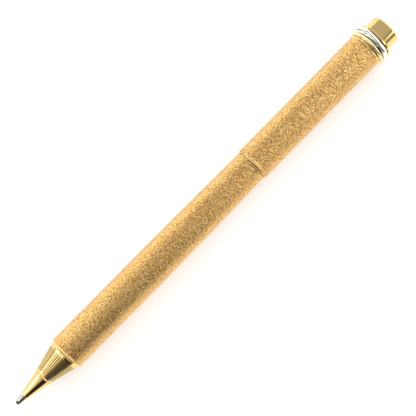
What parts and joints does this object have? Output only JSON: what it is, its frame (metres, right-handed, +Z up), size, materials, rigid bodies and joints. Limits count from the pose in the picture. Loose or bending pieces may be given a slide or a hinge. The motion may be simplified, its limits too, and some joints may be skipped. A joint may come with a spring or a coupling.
{
  "type": "lead holder",
  "caption": "Slim round twist-feed lead holder with a reeded nose, bark-textured gold barrels, loose rings under its crown and a pull-off upper barrel over an eraser.",
  "frame": {"origin": "middle of the holder's length and width, on the surface that it lies on", "axes": "+X along the axis from the writing tip to the crown, +Z up from the surface it lies on, +Y to the holder's left when seen from above with the crown ahead"},
  "size_m": [0.136, 0.0114, 0.0114],
  "materials": {
    "bark_gold": "gold plate over a fine bark texture with short random grains",
    "polished_gold": "polished gold plate",
    "pale_gold": "polished pale gold plate",
    "rhodium": "polished white plate",
    "steel": "fine turned steel",
    "brass": "turned brass",
    "bronze": "turned bearing bronze",
    "graphite": "graphite lead with a slight sheen",
    "eraser": "soft white eraser rubber"
  },
  "bodies": {
    "barrel": {"lead_sleeve": "steel", "tip_cone": "polished_gold", "nose_cone": "polished_gold", "lower_barrel": "bark_gold", "front_bush": "brass", "lower_liner": "brass", "guide_bush": "bronze", "guide_tube": "steel", "rear_bush": "brass"},
    "drive": {"drive_bearing": "bronze", "drive_tube": "brass", "drive_spiral": "brass", "magazine_plug": "brass", "retaining_ring": "steel", "thrust_washer": "bronze", "drive_hub": "brass", "grip_sleeve": "steel", "spare_lead_1": "graphite", "spare_lead_2": "graphite", "spare_lead_3": "graphite"},
    "carrier": {"lead": "graphite", "lead_chuck": "brass", "lead_carrier": "steel", "carrier_lug": "steel"},
    "eraser_plug": {"eraser_ferrule": "brass", "eraser": "eraser"},
    "upper": {"seam_ring": "polished_gold", "upper_barrel": "bark_gold", "upper_liner": "brass", "top_collar": "polished_gold", "ring_spindle": "rhodium", "crown_stud": "steel", "crown": "polished_gold"},
    "front_ring": {"ring_front": "pale_gold"},
    "inner_ring": {"ring_inner": "rhodium"},
    "outer_ring": {"ring_outer": "rhodium"}
  },
  "joints": [
    {"name": "barrel_twist", "type": "hinge", "parent": "barrel", "child": "drive", "pos_m": [0, 0, 0.00528], "axis": [1, 0, 0], "range_deg": [-990, 990]},
    {"name": "lead_feed", "type": "slide", "parent": "barrel", "child": "carrier", "axis": [-1, 0, 0], "range_m": [-0.0112, 0.0112]},
    {"name": "eraser_pull", "type": "slide", "parent": "drive", "child": "eraser_plug", "axis": [1, 0, 0], "range_m": [0, 0.006]},
    {"name": "cap_pull", "type": "slide", "parent": "drive", "child": "upper", "axis": [1, 0, 0], "range_m": [0, 0.06]},
    {"name": "front_ring_spin", "type": "hinge", "parent": "upper", "child": "front_ring", "pos_m": [0.06065, 0, 0.0055], "axis": [1, 0, 0], "continuous": true},
    {"name": "inner_ring_spin", "type": "hinge", "parent": "upper", "child": "inner_ring", "pos_m": [0.06215, 0, 0.00568], "axis": [0.9959, 0.0906, 0], "continuous": true},
    {"name": "outer_ring_spin", "type": "hinge", "parent": "upper", "child": "outer_ring", "pos_m": [0.06215, 0, 0.00572], "axis": [0.9966, -0.0819, 0], "continuous": true}
  ],
  "couplings": [
    {"joint": "lead_feed", "follows": "barrel_twist", "m_per_rad": -0.00063662}
  ]
}
